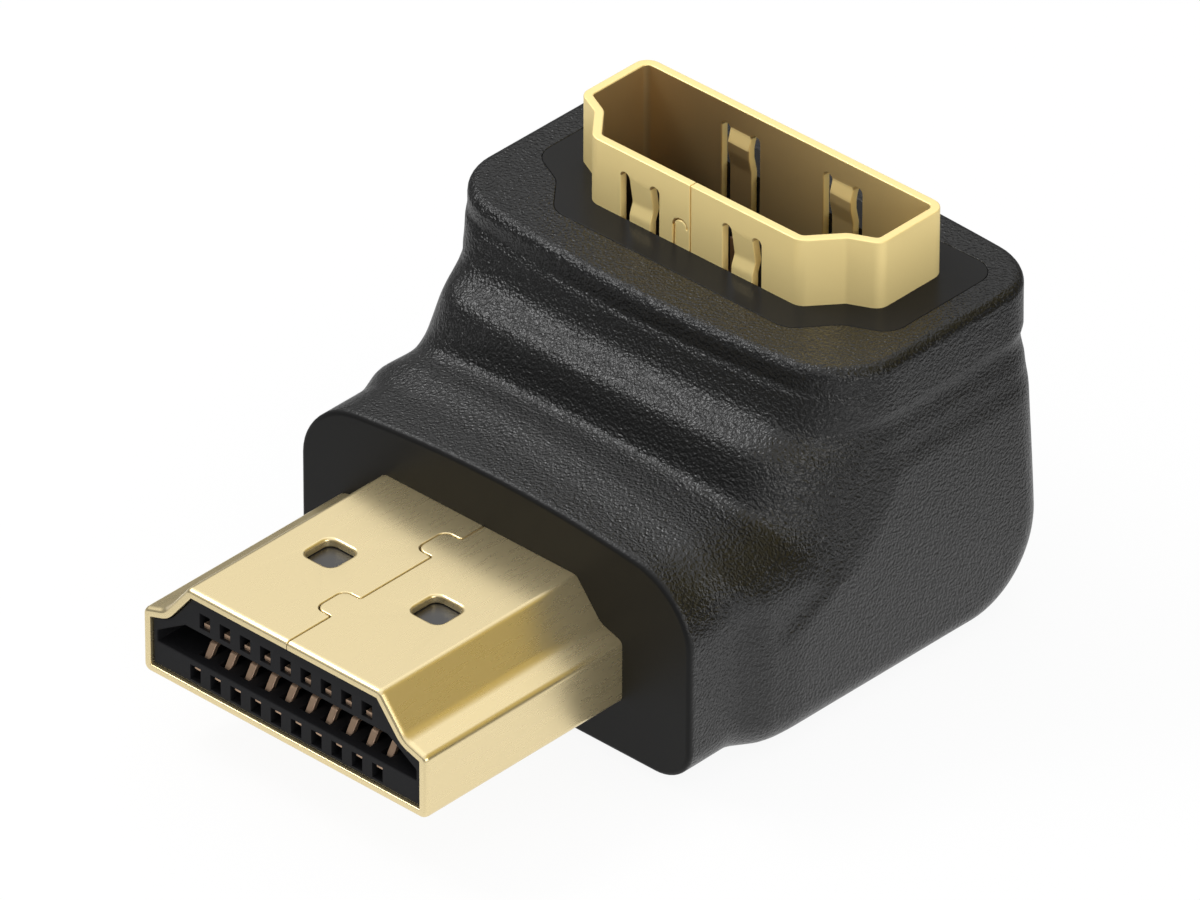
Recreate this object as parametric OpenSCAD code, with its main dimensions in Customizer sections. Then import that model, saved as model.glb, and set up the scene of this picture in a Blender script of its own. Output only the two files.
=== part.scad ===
// Right-angle digital video adapter: a plug on one leg and a socket on the other.
// Millimetres. X is across, the plug points to -Y and the socket opens to +Z.
// The floor, z = 0, is the underside of the moulded elbow.

/* [Plug] */
// Width of the plug's shell over its wide side
plug_w = 14.0; // [13.8:0.05:14.1]
// Height of the plug's shell
plug_h = 4.5; // [4.4:0.05:4.55]
// Width of the plug's narrow side
plug_top_w = 9.5; // [9.2:0.1:9.9]
// Length of plug that stands out of the moulding
plug_reach = 10.15; // [9.9:0.05:11]
// Height of the plug's middle above the floor
plug_mid_z = 4.9; // [4.7:0.01:5.1]
// Place of the plug's middle to the side of the moulding's middle
plug_x = -0.68; // [-0.7:0.01:0]
// Drop of the contact rows below the middle of the plug's shell
row_drop = 0.16; // [0:0.01:0.18]
// Thickness of the plug's folded sheet
plug_sheet = 0.35; // [0.28:0.01:0.36]
// Size of the latch windows
window_size = 1.48; // [1.2:0.02:1.7]
// Distance of the latch windows from the middle
window_x = 2.64; // [2.4:0.02:2.9]
// Distance from the plug's mouth to the middle of the latch windows
window_from_mouth = 5.17; // [4.8:0.01:5.6]

/* [Socket] */
// Width of the socket's opening over its wide side
socket_w = 14.0; // [13.9:0.05:14.2]
// Height of the socket's opening
socket_h = 4.65; // [4.5:0.05:4.75]
// Thickness of the socket's folded sheet
socket_sheet = 0.36; // [0.3:0.01:0.38]
// Height of the socket's rim above the moulding
socket_rise = 2.8; // [2.5:0.05:3.2]
// Place of the socket's middle to the side of the moulding's middle
socket_x = 0.07; // [0:0.01:0.1]
// Distance from the front of the moulding to the middle of the socket
socket_mid_y = 13.15; // [13:0.05:13.2]
// Depth of the tongue's tip below the rim
tongue_below_rim = 2.5; // [2.2:0.05:3]

/* [Contacts] */
// Distance between neighbouring contacts of one row
pitch = 1.0; // [0.98:0.01:1.02]
// Width of a contact
contact_w = 0.3; // [0.26:0.01:0.36]
// Thickness of a contact
contact_t = 0.2; // [0.16:0.01:0.2]

/* [Moulding] */
// Width of the block around the plug
block_w = 19.2; // [19:0.1:19.8]
// Top of the block above the floor
block_top = 9.48; // [9.3:0.02:9.6]
// Rise of the block's top at the first step
step_rise = 0.2; // [0.1:0.02:0.3]
// Width of the moulding behind the first step
body_w = 20.0; // [19.9:0.05:20.1]
// Width over the flat side panels
elbow_w = 20.3; // [20.2:0.05:20.5]
// Depth of the moulding from front to back
body_d = 19.0; // [18.8:0.05:19.2]
// Bow of the wall that faces the inner corner, 7 mm from the middle
bow = 0.42; // [0.3:0.02:0.5]
// Width of the collar around the socket
collar_w = 20.1; // [19.9:0.05:20.2]
// Top of the collar above the floor
collar_top = 14.1; // [13.9:0.05:14.2]
// Radius of the elbow's outer corner
elbow_r = 3.6; // [3.2:0.1:3.8]
// Width of the smooth face all round the socket
face_margin = 1.35; // [1.25:0.05:1.4]

/* [Hidden] */
contact_count = 19;
function two_digits(k) = k < 10 ? str("0", k) : str(k);

front_y = (plug_reach - body_d) / 2;
plug_z = plug_mid_z - plug_h / 2;
rim_z = collar_top + socket_rise;
socket_back_y = socket_mid_y + socket_h / 2 + socket_sheet;
fit = 0.02;

// Board between the two contact rows of the plug
board_t = 1.0;
board_w = 15.8;
board_front_y = 2.0;
board_back_y = 16.6;
row_z = plug_mid_z - row_drop;
board_top = row_z + board_t / 2;

// Outlines are lists of [across, up, corner radius], wide side at the bottom
function mirrored(half) =
    concat(half, [for (i = [len(half) - 1:-1:0]) [-half[i][0], half[i][1], half[i][2]]]);
function flat(p) = [p[0], p[1]];
function left(v) = [-v[1], v[0]] / norm(v);
function moved(a, b, c, d) =
    let (m = left(flat(b) - flat(a)), n = left(flat(c) - flat(b)),
         p = flat(b) + d * (m + n) / (1 + m * n),
         turn = sign(cross(flat(b) - flat(a), flat(c) - flat(b))))
    [p[0], p[1], b[2] == 0 ? 0 : max(b[2] - d * turn, 0.02)];
function inset(pts, d) =
    let (n = len(pts))
    [for (i = [0:n - 1]) moved(pts[(i + n - 1) % n], pts[i], pts[(i + 1) % n], d)];
function corner_arc(a, b, c, r, steps) =
    let (u = (a - b) / norm(a - b), v = (c - b) / norm(c - b),
         half_angle = acos(u * v) / 2,
         centre = b + (u + v) / norm(u + v) * r / sin(half_angle),
         first = b + u * r / tan(half_angle) - centre,
         last = b + v * r / tan(half_angle) - centre,
         from = atan2(first[1], first[0]),
         sweep = (atan2(last[1], last[0]) - from + 540) % 360 - 180)
    [for (k = [0:steps]) centre + r * [cos(from + sweep * k / steps), sin(from + sweep * k / steps)]];
function rounded(pts, steps = 4) =
    let (n = len(pts))
    [for (i = [0:n - 1])
        each pts[i][2] == 0 ? [flat(pts[i])]
            : corner_arc(flat(pts[(i + n - 1) % n]), flat(pts[i]), flat(pts[(i + 1) % n]),
                         pts[i][2], steps)];

// A strip of even thickness along an open path
function side_of(path, d) =
    let (n = len(path),
         longer = concat([2 * path[0] - path[1]], path, [2 * path[n - 1] - path[n - 2]]))
    [for (i = [1:n]) moved(longer[i - 1], longer[i], longer[i + 1], d)];
function reversed(list) = [for (i = [len(list) - 1:-1:0]) list[i]];
function strip(path, t) = concat(side_of(path, -t / 2), reversed(side_of(path, t / 2)));

plug_outline = mirrored([
    [plug_w / 2, 0, 0.3],
    [plug_w / 2, 2.66, 0.28],
    [plug_w / 2 - 1.05, 3, 0.8],
    [plug_top_w / 2, plug_h, 0.3]]);
socket_inner = mirrored([
    [socket_w / 2, 0, 0.25],
    [socket_w / 2, 2.9, 0.2],
    [socket_w / 2 - 1.05, 3.4, 0.7],
    [4.9, socket_h, 0.3]]);
socket_outer = inset(socket_inner, -socket_sheet);
// Slot of the plug that takes the tongue, about the middle of the contact rows
mouth_h = 1.33;
mouth_outline = mirrored([
    [6.4, -mouth_h / 2, 0],
    [6.4, -mouth_h / 2 + 0.46, 0],
    [5, mouth_h / 2, 0]]);

module place() { translate([0, front_y, 0]) children(); }
module along_plug(y0, y1) {
    translate([plug_x, y1, plug_z]) rotate([90, 0, 0]) linear_extrude(y1 - y0) children();
}
module along_socket(z0, z1) {
    translate([socket_x, socket_back_y - socket_sheet, z0]) mirror([0, 1, 0])
        linear_extrude(z1 - z0) children();
}
module across(w) {
    rotate([90, 0, 90]) translate([0, 0, -w / 2]) linear_extrude(w) children();
}
function span(middle, size) = [middle - size / 2, middle + size / 2];
module block(x, y, z) {
    translate([x[0], y[0], z[0]]) cube([x[1] - x[0], y[1] - y[0], z[1] - z[0]]);
}

// Odd contacts lie on the wide side and even ones on the narrow side
function contact_x(k) = (k - (contact_count + 1) / 2) * pitch / 2;
function is_wide(k) = k % 2 == 1;

// Plug

shell_end_y = board_front_y;
insulator_recess = 0.12;
insulator_front_y = insulator_recess - plug_reach;
insulator_end_y = 1.6;
mouth_depth = 8.4;
slot_w = 0.52;
slot_low = 0.9;
slot_h = 0.63;
bridge = 0.42;
plug_tail = board_t / 2 + contact_t / 2;
plug_beam = slot_low + contact_t / 2;
// Side view of a contact of the narrow side, measured from the middle of the rows
plug_contact_path = [
    [4.4, plug_tail, 0],
    [1.5, plug_tail, 0.15],
    [0.9, plug_beam, 0.15],
    [-6.6, plug_beam, 0.3],
    [-8.2, 0.42, 0.5],
    [-9, 0.35, 0.2],
    [-9.4, plug_beam, 0.12],
    [-9.9, plug_beam, 0]];

module plug_contact(k) {
    translate([plug_x + contact_x(k), 0, row_z])
        mirror([0, 0, is_wide(k) ? 1 : 0])
            across(contact_w) polygon(rounded(strip(plug_contact_path, contact_t), 2));
}

seam_x = 0.2;
seam_gap = 0.05;
key_reach = 0.8;
key_l = 1.47;
key_from_mouth = [2.3, 7.5];
// The seam is one thin gap that goes round two keys of the right-hand edge
module plug_seam() {
    path = concat(
        [[seam_x, -plug_reach - 1, 0]],
        [for (d = key_from_mouth) let (y = d - plug_reach)
            each [[seam_x, y, 0.12],
                  [seam_x - key_reach, y, 0.35],
                  [seam_x - key_reach, y + key_l, 0.35],
                  [seam_x, y + key_l, 0.12]]],
        [[seam_x, shell_end_y + 1, 0]]);
    polygon(rounded(strip(path, seam_gap), 3));
}
module window_outline() {
    half = window_size / 2;
    polygon(rounded(mirrored([[half, -half, 0.36], [half, half, 0.36]])));
}
module plug_shell() {
    color("darkgoldenrod") difference() {
        along_plug(-plug_reach, shell_end_y) polygon(rounded(plug_outline));
        along_plug(-plug_reach - 1, shell_end_y + 1) polygon(rounded(inset(plug_outline, plug_sheet)));
        for (x = [-window_x, window_x])
            translate([plug_x + x, window_from_mouth - plug_reach, 0])
                linear_extrude(plug_mid_z + plug_h) window_outline();
        translate([plug_x, 0, plug_mid_z]) linear_extrude(plug_h) plug_seam();
    }
}

module contact_slot(k) {
    outward = is_wide(k) ? -1 : 1;
    x = span(plug_x + contact_x(k), slot_w);
    near = row_z + outward * slot_low;
    far = near + outward * slot_h;
    inner = row_z + outward * mouth_h / 4;
    block(x, [insulator_front_y - 1, -0.6], [min(near, far), max(near, far)]);
    block(x, [insulator_front_y + bridge, -5.6], [min(inner, far), max(inner, far)]);
}
module plug_insulator() {
    color("dimgray") difference() {
        along_plug(insulator_front_y, insulator_end_y)
            polygon(rounded(inset(plug_outline, plug_sheet + fit)));
        along_plug(insulator_front_y - 1, mouth_depth - plug_reach)
            translate([0, row_z - plug_z]) polygon(rounded(mouth_outline));
        for (k = [1:contact_count]) contact_slot(k);
        for (k = [1:contact_count]) plug_contact(k);
    }
}

// Socket

foot_reach = 3.1;
contact_below_tip = 0.6;
tongue_t = 1.2;
tongue_tip_z = rim_z - tongue_below_rim;
base_top = board_top + 2.4;
foot_arch = 0.45;
spring_x = 2.5;
spring_slot_x = 0.73;
spring_slot_w = 0.43;
spring_top = rim_z - 0.85;
spring_low = rim_z - 2.55;
spring_end = rim_z - 5.2;
spring_bow = 0.3;
// Middles of the springs and the seam in the front wall, and of the springs in the back wall
front_row_x = -0.2;
back_row_x = 0.13;
leg_w = 1.6;
leg_drop = 1.6;

module receptacle_contact(k) {
    outward = is_wide(k) ? 1 : -1;
    rear = tongue_t / 2 + 0.04 - contact_t / 2;
    path = [
        [rear, tongue_tip_z - contact_below_tip, 0],
        [rear, board_top + contact_t / 2, 0.15],
        [foot_reach, board_top + contact_t / 2, 0]];
    translate([socket_x + contact_x(k), socket_mid_y, 0])
        mirror([0, outward < 0 ? 1 : 0, 0])
            across(contact_w) polygon(rounded(strip(path, contact_t), 2));
}
// Spring of the front wall: a strip between two slots, bowed into the opening
module spring() {
    wall = socket_sheet / 2;
    steps = 10;
    path = concat(
        [[wall, spring_top + 0.3, 0]],
        [for (k = [0:steps])
            [wall + spring_bow * (1 - cos(360 * k / steps)) / 2,
             spring_top + (spring_low - spring_top) * k / steps, 0]],
        [[wall, spring_low - 0.3, 0]]);
    across(2 * spring_slot_x - spring_slot_w) polygon(rounded(strip(path, socket_sheet * 0.9)));
}
module spring_opening() {
    end_w = spring_slot_w / 2;
    for (side = [-1, 1])
        translate([side * spring_slot_x, 0])
            polygon(rounded(mirrored([[end_w, spring_end, 0.2], [end_w, spring_top, 0.21]])));
    translate([-spring_slot_x, spring_low]) square([2 * spring_slot_x, spring_top - spring_low]);
}
module for_each_spring() {
    for (side = [-1, 1]) {
        translate([socket_x + front_row_x + side * spring_x, socket_mid_y, 0]) children();
        translate([socket_x + back_row_x + side * spring_x, socket_mid_y, 0]) mirror([0, 1, 0]) children();
    }
}
// Solder legs that pass through the board
module legs(low, high, gap = 0) {
    for (turned = [0, 1])
        translate([socket_x, 0, 0]) mirror([turned, 0, 0])
            block([socket_w / 2 - gap, socket_w / 2 + socket_sheet + gap],
                  span(socket_mid_y + 1, leg_w + 2 * gap), [low, high]);
}
// The seam runs straight down and then along the right side of an arched key
module socket_seam() {
    key_top = rim_z - 1.66;
    key_low = key_top - 3;
    key_w = 0.87;
    translate([-seam_gap / 2, key_top - 0.6]) square([seam_gap, 4]);
    path = [[-key_w, key_low, 0], [-key_w, key_top, 0.38], [0, key_top, 0.38], [0, key_low, 0]];
    polygon(rounded(strip(path, seam_gap), 3));
}
module receptacle_shell() {
    half_depth = socket_h / 2 + socket_sheet;
    color("goldenrod") union() {
        difference() {
            along_socket(board_top, rim_z) polygon(rounded(socket_outer));
            along_socket(board_top - 1, rim_z + 1) polygon(rounded(socket_inner));
            for_each_spring()
                translate([0, -half_depth + 1, 0]) rotate([90, 0, 0])
                    linear_extrude(2) spring_opening();
            translate([socket_x + front_row_x, socket_mid_y - half_depth + 1, 0]) rotate([90, 0, 0])
                linear_extrude(2) socket_seam();
            block([-5.3, 5.3], [socket_mid_y - 4, socket_mid_y + 4], [board_top - 1, board_top + foot_arch]);
        }
        for_each_spring() translate([0, -half_depth, 0]) spring();
        legs(board_top - leg_drop, board_top + 0.5);
    }
}
module receptacle_insulator() {
    color("black") difference() {
        union() {
            along_socket(board_top, base_top) polygon(rounded(inset(socket_inner, fit)));
            along_socket(base_top, tongue_tip_z)
                translate([0, socket_h / 2]) polygon(rounded(inset(mouth_outline, (mouth_h - tongue_t) / 2)));
        }
        for (k = [1:contact_count]) receptacle_contact(k);
    }
}

// Inside of the moulding

module circuit_board() {
    color("seagreen") difference() {
        block([-board_w / 2, board_w / 2], [board_front_y, board_back_y],
              [board_top - board_t, board_top]);
        legs(board_top - board_t - 1, board_top + 1, 0.05);
    }
}

core_front_y = 1.4;
core_w = 17.2;
core_low = 1.8;
core_high = 8.2;
core_r = 1.2;
face_r = 1;
face_outline = [for (p = inset(socket_outer, -face_margin)) [p[0], p[1], face_r]];
module core_form() {
    half = core_w / 2;
    translate([0, socket_mid_y, 0]) rotate([90, 0, 0])
        linear_extrude(socket_mid_y - core_front_y)
            polygon(rounded(mirrored([[half, core_low, core_r], [half, core_high, core_r]])));
    along_socket(board_top - 2.2, collar_top) polygon(rounded(face_outline, 6));
}
module inner_mould() {
    color("black") difference() {
        core_form();
        block([-board_w / 2, board_w / 2], [board_front_y, board_back_y],
              [board_top - board_t, board_top]);
        along_plug(core_front_y - 1, shell_end_y) polygon(rounded(plug_outline));
        along_socket(board_top, collar_top + 1) polygon(rounded(socket_outer));
        for (k = [1:contact_count]) plug_contact(k);
        for (k = [1:contact_count]) receptacle_contact(k);
        legs(board_top - leg_drop, board_top);
    }
}

// Overmould: one closed skin whose cross-section swings through the right angle.
// Each section is a rounded rectangle in a plane through the swing axis.

swing_y = 2.2;
swing_z = 13.2;
block_low = 0.4;
front_r = 0.2;
top_r = 0.45;
step_slant = 0.07;
bow_at = 7;
back_bow = 0.2;
// Side view of the inner corner behind the block's top, as two risers with a tread between
stairs = [
    [4.25, 9.69], [4.5, 9.8], [4.68, 10.12], [4.85, 10.6], [5, 11], [5.16, 11.28],
    [5.42, 11.48], [5.75, 11.6], [6.1, 11.76], [6.4, 12.02], [6.62, 12.42], [6.82, 12.9]];
level = swing_z - block_top - step_rise;
// Tables over the swing angle: reach of the inner wall, then its corners across and inwards
inner_curve = concat(
    [for (a = [0, 10, 20]) [a, level / cos(a)]],
    [for (p = stairs) [atan2(p[0] - swing_y, swing_z - p[1]), norm([p[0] - swing_y, swing_z - p[1]])]],
    [[90, 4.8], [98, 4.82]]);
inner_radius = [[0, 2.8], [30, 3], [60, 3.1], [75, 2.8], [90, 2.6], [98, 2.6]];
inner_depth = [
    [0, 2.7], [18, 2.8], [28, 3.2], [40, 4.7], [50, 5], [62, 4.9], [76, 3.8], [90, 2.7], [98, 2.7]];
outer_radius = [[0, 1.75], [45, 1.9], [80, 2.3], [90, 2.4], [98, 2.4]];

function ease(from, to, t) =
    let (u = max(0, min(1, (t - from) / (to - from)))) u * u * (3 - 2 * u);
function slope(table, i) =
    let (a = table[max(i - 1, 0)], b = table[min(i + 1, len(table) - 1)]) (b[1] - a[1]) / (b[0] - a[0]);
// Smooth curve through a table of [position, value]
function curve(table, t) =
    let (i = max([for (j = [0:len(table) - 2]) if (table[j][0] <= t) j]),
         w = table[i + 1][0] - table[i][0], u = (t - table[i][0]) / w)
    table[i][1] * (1 + 2 * u) * pow(1 - u, 2) + table[i + 1][1] * (3 - 2 * u) * u * u
    + w * u * (1 - u) * (slope(table, i) * (1 - u) - slope(table, i + 1) * u);

// The first step goes all round the block, later on its sides and a little askew
function past_step(x, y, z) =
    let (middle = 2.35 + 1.5 * (1 - ease(6, 8.5, z)) - step_slant * x)
    ease(middle - 0.9, middle + 0.9, y);
function low_z(y) = block_low * (1 - ease(swing_y, 4.7, y));
// The back leans in from the elbow to a slight neck under the collar's lip
function neck(z) = 0.09 * ease(10.4, 11.4, z) * (1 - ease(11.5, 11.95, z));
function back_y(z) = body_d - 0.1 * ease(9.2, 10.9, z) - neck(z);
function half_width(side, y, z) =
    let (from_axis = norm([y - swing_y, z - swing_z]),
         angle = atan2(y - swing_y, swing_z - z),
         stepped = block_w / 2 + (body_w - block_w) / 2 * past_step(side * block_w / 2, y, z),
         plain = stepped + (collar_w / 2 - stepped) * ease(50, 80, angle),
         panel = ease(3.5, 5.5, y) * ease(8.2, 8.9, from_axis) * (1 - ease(9.1, 10.2, z)))
    plain + (elbow_w / 2 - plain) * panel - neck(z) * ease(60, 80, angle);

// Distance from the swing axis to the outside at an angle
function outer_reach(angle, y0, z0) =
    let (e = [sin(angle), -cos(angle)],
         centre = [body_d - elbow_r - y0, elbow_r - z0],
         along = e * centre,
         off = norm(centre - along * e),
         guess_y = y0 + z0 * tan(min(angle, 80)),
         guess_z = z0 - (body_d - y0) / tan(max(angle, 10)),
         low = angle > 80 ? 1e6 : (z0 - low_z(guess_y)) / cos(angle),
         back = angle < 10 ? 1e6 : (back_y(guess_z) - y0) / sin(angle),
         low_y = y0 + low * sin(angle), back_z = z0 - back * cos(angle))
    low_y < body_d - elbow_r ? low : back_z > elbow_r ? back : along + sqrt(elbow_r * elbow_r - off * off);

arc_steps = 6;
side_steps = 8;
flat_steps = 4;
nominal = 10;
// A point at x and at the share u of the way from the inner wall to the outer one
function skin_point(s, x, u, inner, outer) =
    let (bowed = pow(x / bow_at, 2),
         reach = inner + (outer - inner) * u + bow * bowed * (1 - u)
             - back_bow * ease(50, 85, s[2]) * bowed * u,
         lowered = reach + step_rise * (1 - u) * (1 - past_step(x, s[0] + reach * sin(s[2]), block_top)),
         y = s[0] + lowered * sin(s[2]), z = s[1] - lowered * cos(s[2]))
    [x * (half_width(sign(x), y, z) - s[3]) / (nominal - s[3]), y, z];
// A station is [axis y, axis z, angle, edge rounding]
function section(s) =
    let (r0 = curve(inner_curve, s[2]) + s[3], r1 = outer_reach(s[2], s[0], s[1]) - s[3],
         ri = curve(inner_radius, s[2]) - s[3], di = curve(inner_depth, s[2]) - s[3],
         ro = curve(outer_radius, s[2]) - s[3], wide = nominal - s[3],
         right = concat(
             [for (k = [1:flat_steps - 1]) [(wide - ri) * k / flat_steps, r0]],
             [for (k = [0:arc_steps]) let (a = -90 + 90 * k / arc_steps)
                 [wide - ri + ri * cos(a), r0 + di + di * sin(a)]],
             [for (k = [1:side_steps - 1]) [wide, r0 + di + (r1 - ro - r0 - di) * k / side_steps]],
             [for (k = [0:arc_steps]) let (a = 90 * k / arc_steps)
                 [wide - ro + ro * cos(a), r1 - ro + ro * sin(a)]],
             [[(wide - ro) / 2, r1]]),
         loop = concat(right, [for (i = [len(right) - 1:-1:0]) [-right[i][0], right[i][1]]]))
    [for (p = loop) skin_point(s, p[0], (p[1] - r0) / (r1 - r0), r0, r1)];
edge_steps = 3;
stations = concat(
    [for (k = [0:edge_steps]) let (a = 90 * k / edge_steps)
        [front_r * (1 - cos(a)), swing_z, 0, front_r * (1 - sin(a))]],
    [for (y = [0.8, 1.3, 1.8, swing_y]) [y, swing_z, 0, 0]],
    [for (a = [4:4:28]) [swing_y, swing_z, a, 0]],
    [for (a = [30:2:90]) [swing_y, swing_z, a, 0]],
    [for (k = [0:edge_steps]) let (a = 90 * k / edge_steps)
        [swing_y, collar_top - top_r * (1 - sin(a)), 90, top_r * (1 - cos(a))]]);

module body_form() {
    rings = [for (s = stations) section(s)];
    n = len(rings[0]);
    last = (len(rings) - 1) * n;
    polyhedron(
        points = [for (r = rings) each r],
        faces = concat(
            [[for (i = [0:n - 1]) i]],
            [for (j = [0:len(rings) - 2], i = [0:n - 1])
                let (a = j * n + i, b = j * n + (i + 1) % n) each [[a, a + n, b], [b, a + n, b + n]]],
            [[for (i = [n - 1:-1:0]) last + i]]),
        convexity = 4);
}
module overmould() {
    color([0.17, 0.17, 0.18]) difference() {
        body_form();
        core_form();
        along_plug(-1, core_front_y + 1) polygon(rounded(plug_outline));
        along_socket(collar_top - 1, collar_top + 1) polygon(rounded(face_outline, 6));
    }
}

place() overmould();
place() inner_mould();
place() circuit_board();
place() plug_shell();
place() plug_insulator();
place() receptacle_shell();
place() receptacle_insulator();
for (k = [1:contact_count]) {
    place() color("gold") plug_contact(k);
    place() color("gold") receptacle_contact(k);
}
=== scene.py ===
"""A right-angle video adapter: gold plug in front and gold socket on top of a black grained moulding."""

from math import acos, atan2, cos, degrees, hypot, pi, radians, sin, sqrt, tan

import bmesh
import bpy
import numpy as np
from mathutils import Matrix, Vector
from mathutils.geometry import delaunay_2d_cdt


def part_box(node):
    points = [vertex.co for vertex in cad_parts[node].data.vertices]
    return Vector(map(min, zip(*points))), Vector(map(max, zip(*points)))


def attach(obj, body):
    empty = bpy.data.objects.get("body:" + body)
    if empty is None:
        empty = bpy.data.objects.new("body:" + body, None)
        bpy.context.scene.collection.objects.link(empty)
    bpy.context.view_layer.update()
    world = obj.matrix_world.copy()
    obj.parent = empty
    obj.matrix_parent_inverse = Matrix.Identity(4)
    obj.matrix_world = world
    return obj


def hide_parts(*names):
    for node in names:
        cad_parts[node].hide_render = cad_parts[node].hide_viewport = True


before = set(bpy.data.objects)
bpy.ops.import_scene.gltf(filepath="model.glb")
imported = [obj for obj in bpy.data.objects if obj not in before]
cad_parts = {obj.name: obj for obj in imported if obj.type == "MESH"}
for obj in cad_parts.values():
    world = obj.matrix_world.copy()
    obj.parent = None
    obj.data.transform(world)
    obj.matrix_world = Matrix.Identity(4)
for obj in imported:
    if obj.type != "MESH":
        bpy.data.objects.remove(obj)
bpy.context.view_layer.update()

# Camera. The photograph was taken with a long lens from the right of the plug and well above it,
# with the adapter filling most of the frame.
MM = 0.001
turn = radians(42.98456)
climb = radians(33.54951)
roll = radians(0.17062)
look_at = Vector((20.0201, -20.3138, 27.4262)) * MM
distance = 540.6458 * MM
focal_length = 479.727
scene = bpy.context.scene
scene.view_settings.view_transform = "Standard"
lens = bpy.data.cameras.new("camera")
lens.sensor_width = 36
lens.lens = focal_length
lens.clip_start = 0.05
camera = bpy.data.objects.new("camera", lens)
scene.collection.objects.link(camera)
outward = Vector((sin(turn) * cos(climb), -cos(turn) * cos(climb), sin(climb)))
camera.matrix_world = (
    Matrix.Translation(look_at + outward * distance)
    @ outward.to_track_quat("Z", "Y").to_matrix().to_4x4()
    @ Matrix.Rotation(roll, 4, "Z")
)
scene.camera = camera

# Circuit board. A bare plate of glass fibre that joins the tails of the plug's contacts to the feet
# of the socket's contacts. It is sealed inside the moulding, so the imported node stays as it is.


def finish(name, color, roughness, metallic=0.0):
    """A material with its own nodes, to which the caller adds grain, brushing or painted shade."""
    material = bpy.data.materials.new(name)
    material.use_nodes = True
    nodes, links = material.node_tree.nodes, material.node_tree.links
    surface = nodes["Principled BSDF"]
    surface.inputs["Base Color"].default_value = (*color, 1)
    surface.inputs["Roughness"].default_value = roughness
    surface.inputs["Metallic"].default_value = metallic
    coordinates = nodes.new("ShaderNodeTexCoord")
    return material, nodes, links, surface, coordinates.outputs["Object"]


def noise(nodes, links, where, scale, detail, roughness=0.5):
    texture = nodes.new("ShaderNodeTexNoise")
    texture.inputs["Scale"].default_value = scale
    texture.inputs["Detail"].default_value = detail
    texture.inputs["Roughness"].default_value = roughness
    links.new(where, texture.inputs["Vector"])
    return texture.outputs["Fac"]


def spread(nodes, links, value, low, high, to_low, to_high):
    """Stretches a value from one pair of levels to another."""
    levels = nodes.new("ShaderNodeMapRange")
    for name, level in zip(("From Min", "From Max", "To Min", "To Max"), (low, high, to_low, to_high)):
        levels.inputs[name].default_value = level
    links.new(value, levels.inputs["Value"])
    return levels.outputs["Result"]


def raise_surface(nodes, links, surface, height, strength, depth):
    bump = nodes.new("ShaderNodeBump")
    bump.inputs["Strength"].default_value = strength
    bump.inputs["Distance"].default_value = depth
    links.new(height, bump.inputs["Height"])
    links.new(bump.outputs["Normal"], surface.inputs["Normal"])


lacquer, nodes, links, surface, where = finish("board_lacquer", (0.02, 0.12, 0.06), 0.35)
weave = noise(nodes, links, where, 4000, 2)
raise_surface(nodes, links, surface, weave, 0.3, 0.02 * MM)
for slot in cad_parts["circuit_board"].material_slots:
    slot.material = lacquer

# Contacts of the socket. Nineteen strips of gold-plated bronze, ten on the back face of the tongue and
# nine on the front one, each with a foot that is soldered to the board. One strip is laid out in rows.
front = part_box("overmould")[0].y
board_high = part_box("circuit_board")[1].z / MM
pitch = 1.0
contact_width = 0.3
contact_thickness = 0.2
contact_proud = 0.04
contact_foot = 3.1
foot_bend = 0.15
socket_x = 0.07
socket_middle = 13.15
tongue_thickness = 1.2
tongue_top = 14.4
contact_top = tongue_top - 0.6
back_row = range(1, 20, 2)
front_row = range(2, 20, 2)


def to_frame(point):
    """From millimetres behind the block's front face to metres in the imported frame."""
    return point[0] * MM, front + point[1] * MM, point[2] * MM


def neighbours(corners):
    return zip(corners[-1:] + corners[:-1], corners, corners[1:] + corners[:1])


def unit(vector):
    return vector / np.linalg.norm(vector)


def corner_arc(before, corner, after, radius, steps):
    u, v = unit(before - corner), unit(after - corner)
    half = acos(np.clip(u @ v, -1, 1)) / 2
    centre = corner + unit(u + v) * radius / sin(half)
    start = corner + u * radius / tan(half) - centre
    end = corner + v * radius / tan(half) - centre
    first = atan2(start[1], start[0])
    sweep = (atan2(end[1], end[0]) - first + 3 * pi) % (2 * pi) - pi
    angles = [first + sweep * k / steps for k in range(steps + 1)]
    return [centre + radius * np.array((cos(a), sin(a))) for a in angles]


def rounded(corners, steps=8):
    """The outline through corners of (across, up, radius), counterclockwise."""
    outline = []
    for before, here, after in neighbours(corners):
        a, b, c = (np.array(corner[:2], float) for corner in (before, here, after))
        outline += corner_arc(a, b, c, here[2], steps) if here[2] else [b]
    return outline


def inset(corners, depth):
    """The same corners moved inwards, with their radii kept concentric."""
    moved = []
    for before, here, after in neighbours(corners):
        a, b, c = (np.array(corner[:2], float) for corner in (before, here, after))
        along, on = unit(b - a), unit(c - b)
        m, n = np.array((-along[1], along[0])), np.array((-on[1], on[0]))
        turning = np.sign(along[0] * on[1] - along[1] * on[0])
        x, y = b + depth * (m + n) / (1 + m @ n)
        moved.append((x, y, max(here[2] - depth * turning, 0.02) if here[2] else 0))
    return moved


def strip(path, thickness):
    """The corners of a bent strip seen from its edge, from (y, z, radius) along its middle."""
    first, last = np.array(path[0][:2]), np.array(path[-1][:2])
    before = (*(2 * first - np.array(path[1][:2])), 0)
    after = (*(2 * last - np.array(path[-2][:2])), 0)
    sides = [inset([before, *path, after], side * thickness / 2)[1:-1] for side in (1, -1)]
    return sides[0][::-1] + sides[1]


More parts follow.
